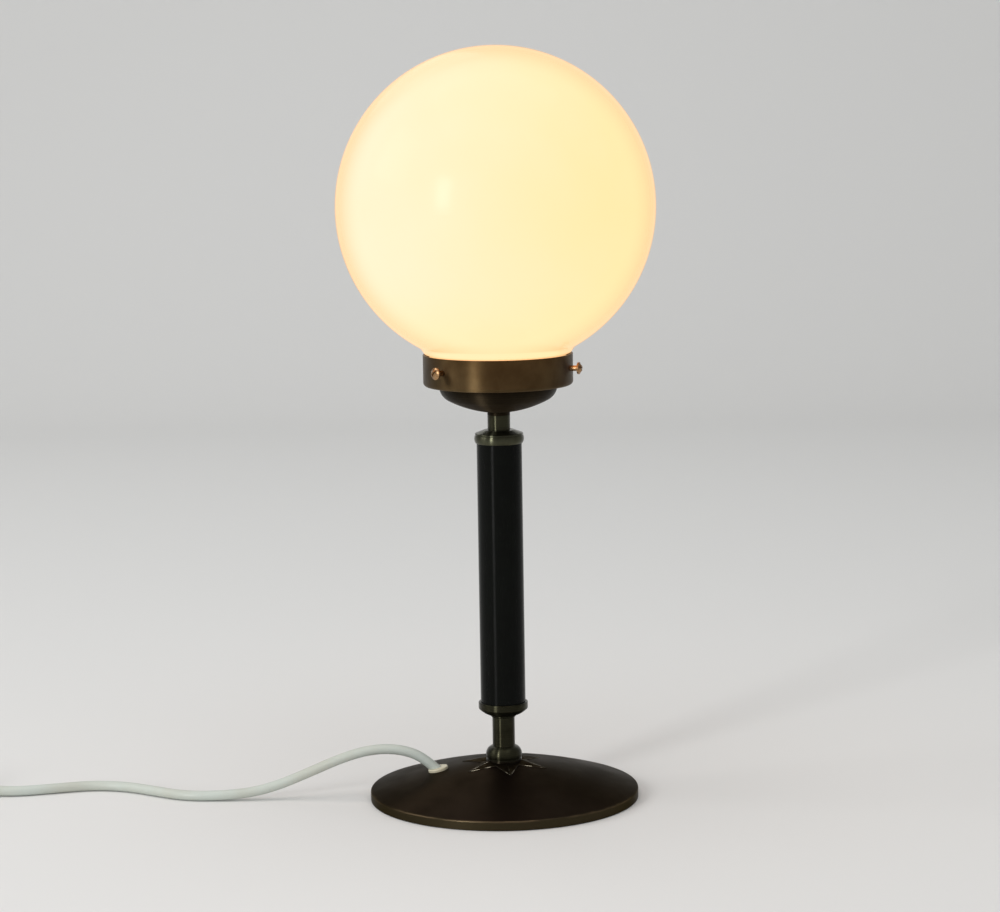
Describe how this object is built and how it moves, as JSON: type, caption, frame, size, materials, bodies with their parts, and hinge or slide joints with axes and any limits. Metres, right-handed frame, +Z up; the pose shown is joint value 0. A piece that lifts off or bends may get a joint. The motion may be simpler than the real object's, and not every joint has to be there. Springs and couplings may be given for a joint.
{
  "type": "glass globe table lamp",
  "caption": "Table lamp with an opal glass globe in a screw-fitted brass gallery, a black sleeved stem, a dark domed base and a white cord with inline switch and plug.",
  "frame": {"origin": "on the floor under the middle of the round base", "axes": "+Z up along the stem, -X towards the side where the cord leaves the base, -Y towards the picture's camera"},
  "size_m": [0.6074, 0.2, 0.4762],
  "materials": {
    "aged_brass": "satin, aged",
    "dark_brass": "dark brown patina, semi-gloss",
    "screw_brass": "polished, reddish",
    "black_sleeve": "gloss black",
    "opal_glass": "opal, lit from inside",
    "frosted_bulb": "frosted, lit",
    "clear_glass": "clear",
    "contact_metal": "bright",
    "black_glass": "glossy",
    "filament": "bare",
    "porcelain": "glazed",
    "holder_plastic": "moulded, gloss",
    "zinc_steel": "zinc plated",
    "iron": "as cast",
    "felt": "felt",
    "cream_bush": "soft plastic",
    "white_cord": "smooth round sheath",
    "white_plastic": "moulded",
    "pin_sleeve": "moulded",
    "brown_wire": "smooth",
    "blue_wire": "smooth"
  },
  "bodies": {
    "lamp": {"base_felt": "felt", "base_nut": "zinc_steel", "base_shell": "dark_brass", "base_washer": "zinc_steel", "base_weight": "iron", "bottom_cover": "zinc_steel", "centre_contact": "contact_metal", "clamp_screws": "zinc_steel", "collar": "aged_brass", "cord_bush": "cream_bush", "cord_clamp": "zinc_steel", "cord_coil": "white_cord", "cord_to_coil": "white_cord", "cord_to_plug": "white_cord", "cord_to_switch": "white_cord", "gallery": "aged_brass", "gallery_nut": "zinc_steel", "gallery_washer": "zinc_steel", "holder_cap": "holder_plastic", "holder_insert": "porcelain", "holder_skirt": "holder_plastic", "holder_terminals": "contact_metal", "lead_in": "white_cord", "live_wire": "brown_wire", "lower_cap": "aged_brass", "lower_neck": "aged_brass", "neutral_wire": "blue_wire", "pin_sleeves": "pin_sleeve", "plug_body": "white_plastic", "plug_pins": "contact_metal", "plug_relief": "white_plastic", "screw_bosses": "screw_brass", "star_rosette": "dark_brass", "stem_sleeve": "black_sleeve", "switch_base": "white_plastic", "switch_contacts": "contact_metal", "switch_cord_ends": "white_cord", "switch_pivot": "zinc_steel", "switch_screws": "zinc_steel", "switch_top": "white_plastic", "thread_shell": "contact_metal", "threaded_tube": "zinc_steel", "upper_cap": "aged_brass", "upper_neck": "aged_brass"},
    "globe_body": {"globe": "opal_glass"},
    "bulb_body": {"bulb_glass": "frosted_bulb", "bulb_cap": "contact_metal", "bulb_contact": "contact_metal", "bulb_insulator": "black_glass", "bulb_stem": "clear_glass", "bulb_filament": "filament"},
    "screw_body_1": {"fitter_screw_1": "screw_brass"},
    "screw_body_2": {"fitter_screw_2": "screw_brass"},
    "screw_body_3": {"fitter_screw_3": "screw_brass"},
    "rocker_body": {"switch_rocker": "white_plastic"}
  },
  "joints": [
    {"name": "globe_lift", "type": "slide", "parent": "lamp", "child": "globe_body", "axis": [0, 0, 1], "range_m": [0, 0.13]},
    {"name": "bulb_unscrew", "type": "slide", "parent": "lamp", "child": "bulb_body", "axis": [0, 0, 1], "range_m": [0, 0.024]},
    {"name": "screw_1_back_out", "type": "slide", "parent": "lamp", "child": "screw_body_1", "axis": [-0.7314, -0.682, 0], "range_m": [0, 0.0018]},
    {"name": "screw_2_back_out", "type": "slide", "parent": "lamp", "child": "screw_body_2", "axis": [0.9563, -0.2924, 0], "range_m": [0, 0.0018]},
    {"name": "screw_3_back_out", "type": "slide", "parent": "lamp", "child": "screw_body_3", "axis": [-0.225, 0.9744, 0], "range_m": [0, 0.0018]},
    {"name": "rocker_tilt", "type": "hinge", "parent": "lamp", "child": "rocker_body", "pos_m": [-0.383, 0.0194, 0.0132], "axis": [0, 1, 0], "range_deg": [-14, 0]}
  ]
}
